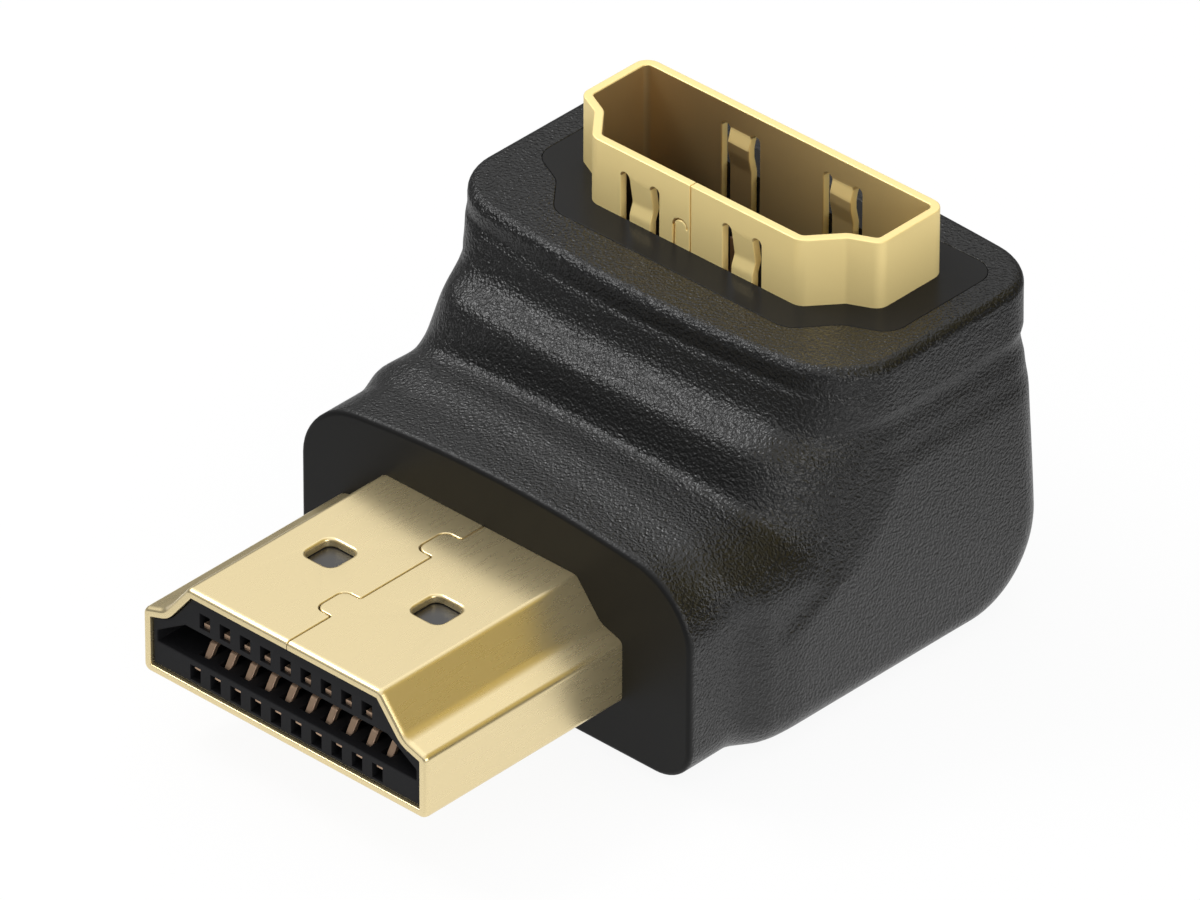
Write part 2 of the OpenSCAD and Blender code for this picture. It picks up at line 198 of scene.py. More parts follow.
def build(name, points, faces, material, sharp=40):
    """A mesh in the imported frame, its faces turned outwards and its edges kept crisp."""
    mesh = bpy.data.meshes.new(name)
    mesh.from_pydata([to_frame(p) for p in points], [], faces)
    form = bmesh.new()
    form.from_mesh(mesh)
    bmesh.ops.recalc_face_normals(form, faces=form.faces)
    form.to_mesh(mesh)
    form.free()
    mesh.shade_smooth()
    mesh.set_sharp_from_angle(angle=radians(sharp))
    mesh.materials.append(material)
    piece = bpy.data.objects.new(name, mesh)
    scene.collection.objects.link(piece)
    return piece


def loft(name, rings, material, sharp=40):
    """A closed solid through rings of points, with a flat face at each end."""
    count = len(rings[0])
    faces = [tuple(range(count)), tuple(range(len(rings) * count - 1, (len(rings) - 1) * count - 1, -1))]
    for row in range(len(rings) - 1):
        for k in range(count):
            a, b = row * count + k, row * count + (k + 1) % count
            faces.append((b, a, a + count, b + count))
    return build(name, [p for ring in rings for p in ring], faces, material, sharp)


def contact(name, path, material, bevel=0.02):
    """One bent strip in the plane x = 0, with its long edges broken."""
    half = contact_width / 2
    rings = []
    for x, cut in ((-half, bevel), (bevel - half, 0), (half - bevel, 0), (half, bevel)):
        rings.append([(x, *point) for point in rounded(strip(path, contact_thickness - 2 * cut), 5)])
    return loft(name, rings, material)


contact_rows = bpy.data.node_groups.new("contact_row", "GeometryNodeTree")
for name, kind in (("Contact", "Geometry"), ("Count", "Int"), ("Pitch", "Float"), ("Finish", "Material")):
    contact_rows.interface.new_socket(name, in_out="INPUT", socket_type="NodeSocket" + kind)
contact_rows.interface.new_socket("Row", in_out="OUTPUT", socket_type="NodeSocketGeometry")
parts = contact_rows.nodes
given = parts.new("NodeGroupInput")
made = parts.new("NodeGroupOutput")
spacing = parts.new("ShaderNodeCombineXYZ")
gaps = parts.new("ShaderNodeMath")
gaps.operation = "MULTIPLY_ADD"
gaps.inputs[1].default_value = -0.5
gaps.inputs[2].default_value = 0.5
first = parts.new("ShaderNodeVectorMath")
first.operation = "SCALE"
places = parts.new("GeometryNodeMeshLine")
copies = parts.new("GeometryNodeInstanceOnPoints")
solid = parts.new("GeometryNodeRealizeInstances")
plated = parts.new("GeometryNodeSetMaterial")
for out, into in (
    (given.outputs["Pitch"], spacing.inputs["X"]),
    (given.outputs["Count"], gaps.inputs[0]),
    (spacing.outputs["Vector"], first.inputs["Vector"]),
    (gaps.outputs["Value"], first.inputs["Scale"]),
    (given.outputs["Count"], places.inputs["Count"]),
    (first.outputs["Vector"], places.inputs["Start Location"]),
    (spacing.outputs["Vector"], places.inputs["Offset"]),
    (places.outputs["Mesh"], copies.inputs["Points"]),
    (given.outputs["Contact"], copies.inputs["Instance"]),
    (copies.outputs["Instances"], solid.inputs["Geometry"]),
    (solid.outputs["Geometry"], plated.inputs["Geometry"]),
    (given.outputs["Finish"], plated.inputs["Material"]),
    (plated.outputs["Geometry"], made.inputs["Row"]),
):
    contact_rows.links.new(out, into)


def settle(piece):
    """Replaces a piece's mesh by what its modifiers make of it."""
    shaped = piece.evaluated_get(bpy.context.evaluated_depsgraph_get())
    mesh = bpy.data.meshes.new_from_object(shaped)
    piece.modifiers.clear()
    piece.data = mesh


def even_shading(piece):
    """Lets the large flat faces keep their own normals, so the shading turns only in the roundings."""
    piece.data.transform(Matrix.Scale(1 / MM, 4))
    weighted = piece.modifiers.new("normals", "WEIGHTED_NORMAL")
    weighted.keep_sharp = True
    settle(piece)
    piece.data.transform(Matrix.Scale(MM, 4))


def in_a_row(piece, count, middle, material):
    """Repeats a piece across, about the middle of its connector."""
    row = piece.modifiers.new("row", "NODES")
    row.node_group = contact_rows
    values = {"Count": count, "Pitch": pitch * MM, "Finish": material}
    for socket in contact_rows.interface.items_tree:
        if socket.name in values:
            row[socket.identifier] = values[socket.name]
    settle(piece)
    for corner in piece.data.vertices:
        corner.co.x += middle * MM


def fit_in(piece, finish_slot, *nodes):
    """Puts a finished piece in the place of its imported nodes."""
    even_shading(piece)
    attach(piece, "root")
    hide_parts(*nodes)


plating, nodes, links, surface, where = finish("contact_plating", (0.56, 0.39, 0.27), 0.45, metallic=0.9)
dull = noise(nodes, links, where, 3000, 3)
links.new(spread(nodes, links, dull, 0.3, 0.7, 0.4, 0.55), surface.inputs["Roughness"])

lift = tongue_thickness / 2 + contact_proud - contact_thickness / 2
on_board = board_high + contact_thickness / 2
for side, row, label in ((1, back_row, "back"), (-1, front_row, "front")):
    path = [
        (socket_middle + side * lift, contact_top, 0),
        (socket_middle + side * lift, on_board, foot_bend),
        (socket_middle + side * contact_foot, on_board, 0),
    ]
    strips = contact("receptacle_contacts_" + label, path, plating)
    in_a_row(strips, len(row), socket_x, plating)
    fit_in(strips, "contact_gold", *(f"receptacle_contact_{k:02d}" for k in row))

# Socket's insulator. A black moulding, pushed into the shell from below: a block with the tongue that
# carries the contacts on top. The tongue's tip is chamfered and the contacts lie in shallow grooves.
socket_sheet = 0.36
socket_wide = 14.0
socket_deep = 4.65
socket_narrow = 9.8
rim = 16.9
insulator_top = board_high + 2.4
fit = 0.02
tongue_wide = 6.33
tongue_low = 4.95
tip_high, tip_chamfer = 0.25, 0.2
groove = 0.4
groove_deep = 0.1


def mirrored(half):
    return half + [(-x, y, r) for x, y, r in half[::-1]]


socket_inner = mirrored([
    (socket_wide / 2, 0, 0.25),
    (socket_wide / 2, 2.9, 0.2),
    (socket_wide / 2 - 1.05, 3.4, 0.7),
    (socket_narrow / 2, socket_deep, 0.3),
])


def from_above(outline, z):
    """An outline of the socket, measured from the inside of its back wall, at a height."""
    back = socket_middle + socket_deep / 2
    return [(socket_x + x, back - y, z) for x, y in outline]


def carve(piece, tool, operation="DIFFERENCE"):
    """Cuts a tool out of a piece, or joins it on, and uses the tool up."""
    cut = piece.modifiers.new("cut", "BOOLEAN")
    cut.operation = operation
    cut.object = tool
    cut.solver = "EXACT"
    settle(piece)
    piece.data.set_sharp_from_angle(angle=radians(35))
    bpy.data.objects.remove(tool)


def bars(name, boxes):
    """Plain cutting blocks in one object."""
    points, faces = [], []
    for (x0, x1), (y0, y1), (z0, z1) in boxes:
        first = len(points)
        points += [(x, y, z) for x in (x0, x1) for y in (y0, y1) for z in (z0, z1)]
        for face in ((0, 1, 3, 2), (4, 6, 7, 5), (0, 4, 5, 1), (2, 3, 7, 6), (0, 2, 6, 4), (1, 5, 7, 3)):
            faces.append(tuple(first + k for k in face))
    return build(name, points, faces, None)


socket_plastic, nodes, links, surface, where = finish("socket_plastic", (0.016, 0.016, 0.018), 0.45)
raise_surface(nodes, links, surface, noise(nodes, links, where, 9000, 2), 0.25, 0.01 * MM)

inside = inset(socket_inner, fit)
stem = loft(
    "receptacle_insulator",
    [from_above(rounded(inside), board_high), from_above(rounded(inside), insulator_top - 0.1),
     from_above(rounded(inset(inside, 0.1)), insulator_top)],
    socket_plastic,
)
half = tongue_thickness / 2
tongue_outline = mirrored([
    (tongue_wide, -half, 0.1),
    (tongue_wide, 0.46 - half, 0.15),
    (tongue_low, half, 0.1),
])
tongue = []
for z, cut in ((insulator_top - 0.5, 0), (tongue_top - tip_high, 0), (tongue_top, tip_chamfer)):
    tongue.append([
        (socket_x + x, socket_middle - y, z) for x, y in rounded(inset(tongue_outline, cut), 5)
    ])
carve(stem, loft("tongue", tongue, socket_plastic), "UNION")
grooves = []
for row, side in ((back_row, 1), (front_row, -1)):
    for k in range(len(row)):
        x = socket_x + (k - (len(row) - 1) / 2) * pitch
        ys = sorted((socket_middle + side * (half - groove_deep), socket_middle + side * (half + 1)))
        grooves.append(((x - groove / 2, x + groove / 2), ys, (insulator_top + 0.3, contact_top + 0.15)))
carve(stem, bars("grooves", grooves))
fit_in(stem, "socket_plastic", "receptacle_insulator")

# Socket's shell. A gold-plated sheet, stamped flat and folded round the insulator until its ends meet in
# front, beside an arched key. Two springs in the front wall and two in the back are strips between
# slots, bent into the opening to press on the other connector. Its inner walls carry painted shade: a
# browner, more mirror-like plating, darkest towards the left.
slot_x = 0.73
slot_wide = 0.43
slot_foot, slot_head = 0.2, 0.21
spring_x = 2.5
spring_top = rim - 0.85
spring_end = rim - 5.2
front_bend = [(rim - 2.5, 0), (rim - 2.05, 0.17), (rim - 1.0, 0)]
back_bend = [(rim - 2.5, 0), (rim - 1.9, 0.14), (rim - 1.5, 0.14), (rim - 1.0, 0)]
bend_blur = (-0.06, -0.03, 0, 0.03, 0.06)
spring_rows = np.linspace(rim - 2.7, spring_top - 0.1, 25)
edge = 0.05
socket_seam_gap = 0.05
socket_seam_x = -0.2
back_springs_x = 0.13
key_wide = 0.87
key_top = rim - 1.66
key_low = key_top - 3
key_arch = 0.38
key_edge = 0.22
key_roll = 0.1
gloss_range = 0.02
outside_metallic = 0.45
# Painted shade for the socket's inner walls: a browner colour and a more mirror-like metal than outside.
inside_metallic = 0.82
inside_shade_color = (0.60, 0.42, 0.19, 1)


def fill(loops, ribs):
    """Triangles between an outline, its holes and the ribs where the sheet bends."""
    points, edges = [], []
    for loop in loops:
        first = len(points)
        points += loop
        edges += [(first + k, first + (k + 1) % len(loop)) for k in range(len(loop))]
    for a, b in ribs:
        edges.append((len(points), len(points) + 1))
        points += [a, b]
    flat, _, triangles, origin, _, _ = delaunay_2d_cdt([Vector(p) for p in points], edges, [], 0, 1e-5)
    index = {given: k for k, sources in enumerate(origin) for given in sources}
    kept = []
    for triangle in triangles:
        x, y = sum((flat[k] for k in triangle), Vector((0, 0))) / 3
        crossings = 0
        for loop in loops:
            for (x0, y0), (x1, y1) in zip(loop, loop[1:] + loop[:1]):
                crossings += (y0 > y) != (y1 > y) and x < x0 + (y - y0) * (x1 - x0) / (y1 - y0)
        if crossings % 2:
            kept.append(tuple(triangle))
    return [tuple(p) for p in flat], kept, [index[k] for k in range(sum(map(len, loops)))]


def folded_path(outline, thickness, start):
    """The outside and inside of a fold as two paths, from the seam on the narrow side once round."""
    outer, inner = rounded(outline), rounded(inset(outline, thickness))
    top = max(y for _, y in outer)
    for k, ((x0, y0), (x1, y1)) in enumerate(zip(outer, outer[1:])):
        if min(y0, y1) > top - 1e-6 and x1 < start < x0:
            break
    seam = [np.array((start, y0)), np.array((start, y0 - thickness))]
    return [[seam[i], *points[k + 1:], *points[:k + 1], seam[i]] for i, points in enumerate((outer, inner))]


def fold_lengths(path):
    """Distance round the fold's outside at each of its points."""
    outer = np.array(path[0])
    return np.concatenate(([0], np.cumsum(np.linalg.norm(np.diff(outer, axis=0), axis=1))))


def blank_outline(lengths, ends, gap, rows=(), keys=()):
    """The flat blank: a point at every fold, keys on one side and their notches opposite."""
    low, high = ends
    root, key_corner, notch_corner = 0.1, 0.36, 0.38
    folds = list(lengths[1:-1])
    near, far = gap, lengths[-1]
    corners = [(s, low, 0) for s in [near, *folds, far]] + [(far, v, 0) for v in rows]
    for start, end, reach in keys:
        tip = far + reach
        corners += [(far, start, root), (tip, start, key_corner)]
        corners += [(tip, end, key_corner), (far, end, root)]
    corners += [(s, high, 0) for s in [far, *folds[::-1], near]]
    for start, end, reach in keys[::-1]:
        tip = near + reach
        start, end = start - gap, end + gap
        corners += [(near, end, root), (tip, end, notch_corner)]
        corners += [(tip, start, notch_corner), (near, start, root)]
    return corners + [(near, v, 0) for v in rows[::-1]]


def folded_sheet(name, blank, holes, ribs, path, thickness, press, lay, material):
    """A flat blank with holes, given its thickness and rounded edges and carried round a folded path."""
    outer, inner = (np.array(side) for side in path)
    lengths = fold_lengths(path)

    def carried(s, v, depth):
        k = min(max(int(np.searchsorted(lengths, s)) - 1, 0), len(lengths) - 2)
        share = (s - lengths[k]) / (lengths[k + 1] - lengths[k])
        here, under = (side[k] + (side[k + 1] - side[k]) * share for side in (outer, inner))
        x, y = here + (under - here) * (depth + press(s, v, depth)) / thickness
        return lay(x, y, v)

    cuts = [(blank, 1, (edge, edge))] + [(corners, -1, roundings) for corners, roundings in holes]
    points, faces, borders = [], [], []
    for face, depth in ((0, 0), (1, thickness)):
        loops, spans = [], []
        for corners, side, roundings in cuts:
            loops.append([tuple(p) for p in rounded(inset(corners, side * roundings[face]), 6)])
        for a, b, cut in ribs:
            step = unit(np.subtract(b, a)) * cuts[cut][2][face]
            spans.append((tuple(a + step), tuple(b - step)))
        flat, triangles, index = fill(loops, spans)
        first = len(points)
        points += [carried(s, v, depth) for s, v in flat]
        faces += [tuple(first + k for k in triangle) for triangle in triangles]
        borders.append([first + k for k in index])
    done = 0
    for corners, side, (outside, inside) in cuts:
        true = rounded(corners, 6)
        count = len(true)
        rows = [borders[0][done:done + count]]
        for rounding, angles, floor in ((outside, (30, 60, 90), 0), (inside, (90, 60, 30), thickness)):
            tight = rounded(inset(corners, side * rounding), 6)
            for angle in angles:
                back, drop = 1 - sin(radians(angle)), rounding * (1 - cos(radians(angle)))
                rows.append(list(range(len(points), len(points) + count)))
                for here, kept in zip(true, tight):
                    s, v = here + (kept - here) * back
                    points.append(carried(s, v, abs(floor - drop)))
        rows.append(borders[1][done:done + count])
        for upper, lower in zip(rows, rows[1:]):
            for k in range(count):
                faces.append((upper[k], upper[(k + 1) % count], lower[(k + 1) % count], lower[k]))
        done += count
    return build(name, points, faces, material, 50)


def coordinate(nodes, links, where, axis):
    """One coordinate of a place or a direction."""
    split = nodes.new("ShaderNodeSeparateXYZ")
    links.new(where, split.inputs["Vector"])
    return split.outputs[axis]


def reckon(nodes, links, kind, operation, values, result="Value"):
    """A math node fed with other nodes' outputs and plain values."""
    node = nodes.new("ShaderNode" + kind)
    node.operation = operation
    for socket, value in zip(node.inputs, values):
        if isinstance(value, bpy.types.NodeSocket):
            links.new(value, socket)
        else:
            socket.default_value = value
    return node.outputs[result]


def gold(name, color, roughness, metallic, brushed):
    """Satin plating: the width of its gloss varies along the rolled sheet."""
    material, nodes, links, surface, where = finish(name, color, roughness, metallic)
    stretched = nodes.new("ShaderNodeMapping")
    stretched.inputs["Scale"].default_value = brushed
    links.new(where, stretched.inputs["Vector"])
    grain = noise(nodes, links, stretched.outputs["Vector"], 5000, 3, 0.6)
    gloss = spread(nodes, links, grain, 0.3, 0.7, roughness - gloss_range, roughness + gloss_range)
    links.new(gloss, surface.inputs["Roughness"])
    return material, nodes, links, surface, where


socket_gold, nodes, links, surface, where = gold(
    "socket_gold", (0.97, 0.77, 0.34), 0.42, outside_metallic, (1, 1, 0.15))
# Painted shade: walls that face into the socket take the browner, more metallic plating, fully on the left
# and about a third as much on the right.
from_middle = reckon(
    nodes, links, "VectorMath", "SUBTRACT", (where, to_frame((socket_x, socket_middle, 0))), "Vector")
flattened = reckon(nodes, links, "VectorMath", "MULTIPLY", (from_middle, (0.1, 1, 1)), "Vector")
faces_out = reckon(nodes, links, "VectorMath", "DOT_PRODUCT", (flattened, where.node.outputs["Normal"]))
inwards = spread(nodes, links, faces_out, -0.6 * MM, -0.4 * MM, 1, 0)
left_shade = spread(nodes, links, coordinate(nodes, links, where, "X"), -3 * MM, 6 * MM, 1, 0.35)
painted_shade = reckon(nodes, links, "Math", "MULTIPLY", (inwards, left_shade))
plated = nodes.new("ShaderNodeMix")
plated.data_type = "RGBA"
plated.inputs["A"].default_value = surface.inputs["Base Color"].default_value
plated.inputs["B"].default_value = inside_shade_color
links.new(painted_shade, plated.inputs["Factor"])
links.new(plated.outputs["Result"], surface.inputs["Base Color"])
metallic = spread(nodes, links, painted_shade, 0, 1, outside_metallic, inside_metallic)
links.new(metallic, surface.inputs["Metallic"])

socket_outer = inset(socket_inner, -socket_sheet)
socket_path = folded_path(socket_outer, socket_sheet, socket_seam_x)
socket_lengths = fold_lengths(socket_path)
socket_round = socket_lengths[-1]
back_middle = socket_round / 2 + socket_seam_x + back_springs_x
front_springs = [spring_x, socket_round - spring_x]
back_springs = [back_middle - spring_x, back_middle + spring_x]


def spring_slots(middle):
    """The slots on both sides of a spring, with a point on the spring's edge at each row of its bend."""
    half = slot_wide / 2
    left, right = middle - slot_x, middle + slot_x
    return [
        [(left - half, spring_end, slot_foot), (left + half, spring_end, slot_foot)]
        + [(left + half, v, 0) for v in spring_rows]
        + [(left + half, spring_top, slot_head), (left - half, spring_top, slot_head)],
        [(right - half, spring_end, slot_foot), (right + half, spring_end, slot_foot),
         (right + half, spring_top, slot_head), (right - half, spring_top, slot_head)]
        + [(right - half, v, 0) for v in spring_rows[::-1]],
    ]


def ease(low, high, value):
    """A smooth step from 0 to 1."""
    share = min(max((value - low) / (high - low), 0), 1)
    return share * share * (3 - 2 * share)


def spring_press(s, v, depth):
    """How far a spring is bent inwards, and how far the key's free edge is rolled."""
    if 0 < key_wide - s < key_edge and key_low < v < key_top:
        return key_roll * (1 - (key_wide - s) / key_edge) * ease(key_top - 0.15, key_top - 0.4, v)
    for middles, bend in ((front_springs, front_bend), (back_springs, back_bend)):
        if min(abs(s - middle) for middle in middles) < slot_x:
            return float(np.mean([np.interp(v + nearby, *zip(*bend)) for nearby in bend_blur]))
    return 0


def stand_up(x, y, z):
    """From the socket's fold, measured from its back wall, to its place on top."""
    return socket_x + x, socket_middle + socket_deep / 2 - y, z


socket_holes, socket_ribs = [], [((s, board_high), (s, rim), 0) for s in socket_lengths[1:-1]]
for middle in front_springs + back_springs:
    socket_holes += [(corners, (edge, edge)) for corners in spring_slots(middle)]
    for v in spring_rows:
        ends = [(middle + side * (slot_x - slot_wide / 2), v) for side in (-1, 1)]
        socket_ribs.append((*ends, len(socket_holes)))
key_cut = [
    (key_wide, key_low, 0),
    (key_wide, key_top, key_arch),
    (0.2, key_top, 0.25),
    (0.2, key_top - 0.3, 0),
]
socket_holes.append((strip(key_cut, socket_seam_gap), (edge, 0.03)))
for away in (0.12, key_edge):
    socket_ribs.append(((key_wide - away, key_low), (key_wide - away, key_top - key_arch), 0))

shell = folded_sheet(
    "receptacle_shell", blank_outline(socket_lengths, (board_high, rim), socket_seam_gap),
    socket_holes, socket_ribs, socket_path, socket_sheet, spring_press, stand_up, socket_gold,
)
fit_in(shell, "socket_gold", "receptacle_shell")

# Contacts of the plug. Nineteen more strips, ten below the plug's slot and nine above it. Each runs
# forward in its groove and ends in a nose that rises into the slot, with its tip behind a front opening.
plug_x = -0.68
plug_middle = 4.9
row_middle = plug_middle - 0.16
plug_reach = 10.15
mouth_high = 1.33
opening_low, opening_high = 0.9, 1.53
plug_tail = board_high - row_middle + contact_thickness / 2
plug_beam = opening_low + contact_thickness / 2
# Distance behind the block's front face, height from the middle between the rows, radius of the bend
tail_to_tip = (
    (4.4, plug_tail, 0),
    (1.5, plug_tail, 0.15),
    (0.9, plug_beam, 0.15),
    (-6.6, plug_beam, 0.3),
    (-8.2, 0.42, 0.5),
    (-9, 0.35, 0.2),
    (-9.4, plug_beam, 0.12),
    (-9.9, plug_beam, 0),
)
wide_row = range(1, 20, 2)
narrow_row = range(2, 20, 2)
for side, row, label in ((-1, wide_row, "wide"), (1, narrow_row, "narrow")):
    path = [(y, row_middle + side * height, radius) for y, height, radius in tail_to_tip]
    strips = contact("plug_contacts_" + label, path, plating)
    in_a_row(strips, len(row), plug_x, plating)
    fit_in(strips, "contact_gold", *(f"plug_contact_{k:02d}" for k in row))

# Plug's insulator. One dark moulding that fills the shell, with the slot for the other connector's
# tongue and a small opening in front of every contact. Its front face is duller than the slot's walls.
plug_wide = 14.0
plug_high = 4.5
plug_narrow = 9.5
plug_sheet = 0.35
insulator_front = 0.12 - plug_reach
insulator_back = 1.6
mouth_back = 8.4 - plug_reach
opening = 0.52
opening_back, groove_back = -0.6, -5.6
bridge = 0.42
flare = 0.03
plug_outline = mirrored([
    (plug_wide / 2, 0, 0.3),
    (plug_wide / 2, 2.66, 0.28),
    (plug_wide / 2 - 1.05, 3, 0.8),
    (plug_narrow / 2, plug_high, 0.3),
])
mouth_outline = mirrored([
    (6.4, -mouth_high / 2, 0.05),
    (6.4, 0.46 - mouth_high / 2, 0.1),
    (5, mouth_high / 2, 0.05),
])


def from_front(outline, y, low=plug_middle - plug_high / 2):
    """An outline of the plug, measured from the underside of its shell, at a distance from the block."""
    return [(plug_x + x, y, low + z) for x, z in outline]


plug_plastic, nodes, links, surface, where = finish("plug_plastic", (0.01, 0.01, 0.011), 0.36)
from_mouth = coordinate(nodes, links, where, "Y")
shine = spread(nodes, links, from_mouth, front - 9.8 * MM, front - 8 * MM, 0.08, 1)
links.new(shine, surface.inputs["Specular IOR Level"])
raise_surface(nodes, links, surface, noise(nodes, links, where, 9000, 2), 0.25, 0.01 * MM)
filling = inset(plug_outline, plug_sheet + fit)
core = loft(
    "plug_insulator",
    [from_front(rounded(inset(filling, cut)), y)
     for y, cut in ((insulator_front, 0.1), (insulator_front + 0.03, 0.03),
                    (insulator_front + 0.1, 0), (insulator_back, 0))],
    plug_plastic,
)
mouth = [
    from_front(rounded(inset(mouth_outline, -wider), 4), y, row_middle)
    for y, wider in ((insulator_front - 1, flare), (insulator_front, flare), (insulator_front + flare, 0),
                     (mouth_back, 0))
]
carve(core, loft("mouth", mouth, plug_plastic))
for side, row in ((-1, wide_row), (1, narrow_row)):
    near, far, slot_floor = (row_middle + side * h for h in (opening_low, opening_high, mouth_high / 4))
    half = opening / 2
    openings = bars("openings", [
        ((-half, half), (insulator_front - 1, opening_back), sorted((near, far))),
        ((-half, half), (insulator_front + bridge, groove_back), sorted((slot_floor, near + side * 0.01))),
    ])
    in_a_row(openings, len(row), plug_x, plug_plastic)
    carve(core, openings)
fit_in(core, "plug_plastic", "plug_insulator")

# Plug's shell. The same kind of folded sheet, brighter. It has two pressed latch windows on top and two
# underneath, and a seam on top that two rounded keys hold together.
window = 1.48
window_round = 0.36
window_press = 0.12
window_x = 2.64
window_from_mouth = 5.17
plug_seam_gap = 0.035
plug_seam_x = 0.2
key_starts = [2.3, 7.5]
key_long = 1.47
key_reach = 0.8
shell_back = 2.0
mouth_roll, roll_long = 0.13, 0.25
roll_rows = [k * roll_long / 4 - plug_reach for k in (1, 2, 3, 4)]
plug_gold = gold("plug_gold", (0.82, 0.68, 0.39), 0.28, 0.86, (1, 0.15, 1))[0]
plug_path = folded_path(plug_outline, plug_sheet, plug_seam_x)
plug_lengths = fold_lengths(plug_path)
plug_round = plug_lengths[-1]
windows = []
for s in (plug_seam_x + window_x, plug_round + plug_seam_x - window_x,
          plug_round / 2 + plug_seam_x - window_x, plug_round / 2 + plug_seam_x + window_x):
    half, middle = window / 2, window_from_mouth - plug_reach
    corners = ((-half, -half), (half, -half), (half, half), (-half, half))
    windows.append(([(s + x, middle + y, window_round) for x, y in corners], (window_press, edge)))


def roll_mouth(s, v, depth):
    """The outer face falls away towards the mouth, which leaves the sheet's end thinner."""
    share = max(1 - (v + plug_reach) / roll_long, 0)
    return mouth_roll * (1 - sqrt(1 - min(share, 0.96) ** 2)) * (1 - depth / plug_sheet)


def lie_forward(x, z, y):
    """From the plug's fold, measured from its wide wall, to its place in front."""
    return plug_x + x, y, plug_middle - plug_high / 2 + z


plug_keys = [(y - plug_reach, y - plug_reach + key_long, key_reach) for y in key_starts]
plug_ribs = [((s, -plug_reach), (s, shell_back), 0) for s in plug_lengths[1:-1]]
plug_ribs += [((plug_seam_gap, v), (plug_round, v), 0) for v in roll_rows]
shell = folded_sheet(
    "plug_shell",
    blank_outline(plug_lengths, (-plug_reach, shell_back), plug_seam_gap, roll_rows, plug_keys),
    windows, plug_ribs, plug_path, plug_sheet, roll_mouth, lie_forward, plug_gold,
)
fit_in(shell, "plug_gold", "plug_shell")

# Inner mould. Hard black plastic, injected round the board and both connectors before the soft skin.
# Its glossy top shows as the smooth face round the socket.
collar_top = 14.1
face_margin = 1.35
face_corner = 1
core_wide = 17.2
core_low, core_high = 1.8, 8.2
core_corner = 1.2
core_front = 1.4
column_low = board_high - 2.2
black, nodes, links, surface, where = finish("socket_face", (0.016, 0.016, 0.016), 0.24)
surface.inputs["Specular IOR Level"].default_value = 0.06
polish = noise(nodes, links, where, 400, 3)
links.new(spread(nodes, links, polish, 0.3, 0.7, 0.2, 0.28), surface.inputs["Roughness"])
face_outline = [(x, y, face_corner) for x, y, _ in inset(socket_outer, -face_margin)]


def quarter_round(radius):
    """How far a rounding lies in from its two faces, along a quarter of a circle."""
    angles = [radians(angle) for angle in range(0, 91, 15)]
    return [(radius * (1 - cos(a)), radius * (1 - sin(a))) for a in angles]


def inner_form(name, wider, top_rounding):
    """The core's block with the column that rises to the socket's face, whose edge falls in or flares."""
    half = core_wide / 2 + wider
    profile = rounded(mirrored([
        (half, core_low - wider, core_corner),
        (half, core_high + wider, core_corner),
    ]))
    form = loft(name, [[(x, y, z) for x, z in profile] for y in (core_front - wider, socket_middle)], black)
    straight = rounded(inset(face_outline, -wider), 10)
    rings = [from_above(straight, z) for z in (column_low, collar_top - 0.5)]
    for cut, down in quarter_round(abs(top_rounding)):
        ring = rounded(inset(face_outline, np.sign(top_rounding) * cut - wider), 10)
        rings.append(from_above(ring, collar_top - down))
    if top_rounding < 0:
        rings.append([(x, y, collar_top + 1) for x, y, z in rings[-1]])
    carve(form, loft("column", rings, black), "UNION")
    return form


heart = inner_form("inner_mould", 0, 0.03)
plug_hole = [from_front(rounded(plug_outline), y) for y in (core_front - 1, shell_back)]
carve(heart, loft("plug_hole", plug_hole, black))
socket_hole = [from_above(rounded(socket_outer), z) for z in (board_high, collar_top + 1)]
carve(heart, loft("socket_hole", socket_hole, black))
board = [[corner.x / MM, (corner.y - front) / MM, corner.z / MM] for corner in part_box("circuit_board")]
carve(heart, bars("board_room", [tuple(zip(*board))]))
fit_in(heart, "socket_face", "inner_mould")

# Overmould. One soft black skin injected over everything, with a leather grain on all but its smooth,
# duller front face. Its section swings from the plug's block through the elbow to the socket's collar.
swing_y, swing_z = 2.2, 13.2
block_wide, block_top, block_low = 19.2, 9.48, 0.4
body_wide, body_deep = 20.0, 18.987
elbow_wide, elbow_round = 20.3, 3.6
collar_wide = 20.1
step_at, step_half, step_later = 2.35, 0.9, 1.5
step_rise, step_slant = 0.2, 0.07
bow, bow_at, back_bow = 0.42, 7, 0.2
neck_deep, back_lean = 0.09, 0.1
front_round, top_round = 0.2, 0.45
skin_half = 10
stairs = [
    (4.25, 9.69), (4.5, 9.8), (4.68, 10.12), (4.85, 10.6), (5, 11), (5.16, 11.28),
    (5.42, 11.48), (5.75, 11.6), (6.1, 11.76), (6.4, 12.02), (6.62, 12.42), (6.82, 12.9),
]
level = swing_z - block_top - step_rise
inner_reach = (
    [(angle, level / cos(radians(angle))) for angle in (0, 10, 20)]
    + [(degrees(atan2(y - swing_y, swing_z - z)), hypot(y - swing_y, swing_z - z)) for y, z in stairs]
    + [(90, 4.8), (98, 4.82)]
)
shoulder_wide = [(0, 2.8), (30, 3), (60, 3.1), (75, 2.8), (90, 2.6), (98, 2.6)]
shoulder_deep = [
    (0, 2.7), (18, 2.8), (28, 3.2), (40, 4.7), (50, 5), (62, 4.9), (76, 3.8), (90, 2.7), (98, 2.7),
]
outer_round = [(0, 1.75), (45, 1.9), (80, 2.3), (90, 2.4), (98, 2.4)]


def smooth_through(table, at):
    """A smooth curve through (position, value) pairs."""
    k = max(i for i in range(len(table) - 1) if table[i][0] <= at + 1e-9)

    def slope(i):
        (x0, y0), (x1, y1) = table[max(i - 1, 0)], table[min(i + 1, len(table) - 1)]
        return (y1 - y0) / (x1 - x0)

    (x0, y0), (x1, y1) = table[k], table[k + 1]
    width, u = x1 - x0, (at - x0) / (x1 - x0)
    ends = y0 * (1 + 2 * u) * (1 - u) ** 2 + y1 * (3 - 2 * u) * u * u
    return ends + width * u * (1 - u) * (slope(k) * (1 - u) - slope(k + 1) * u)


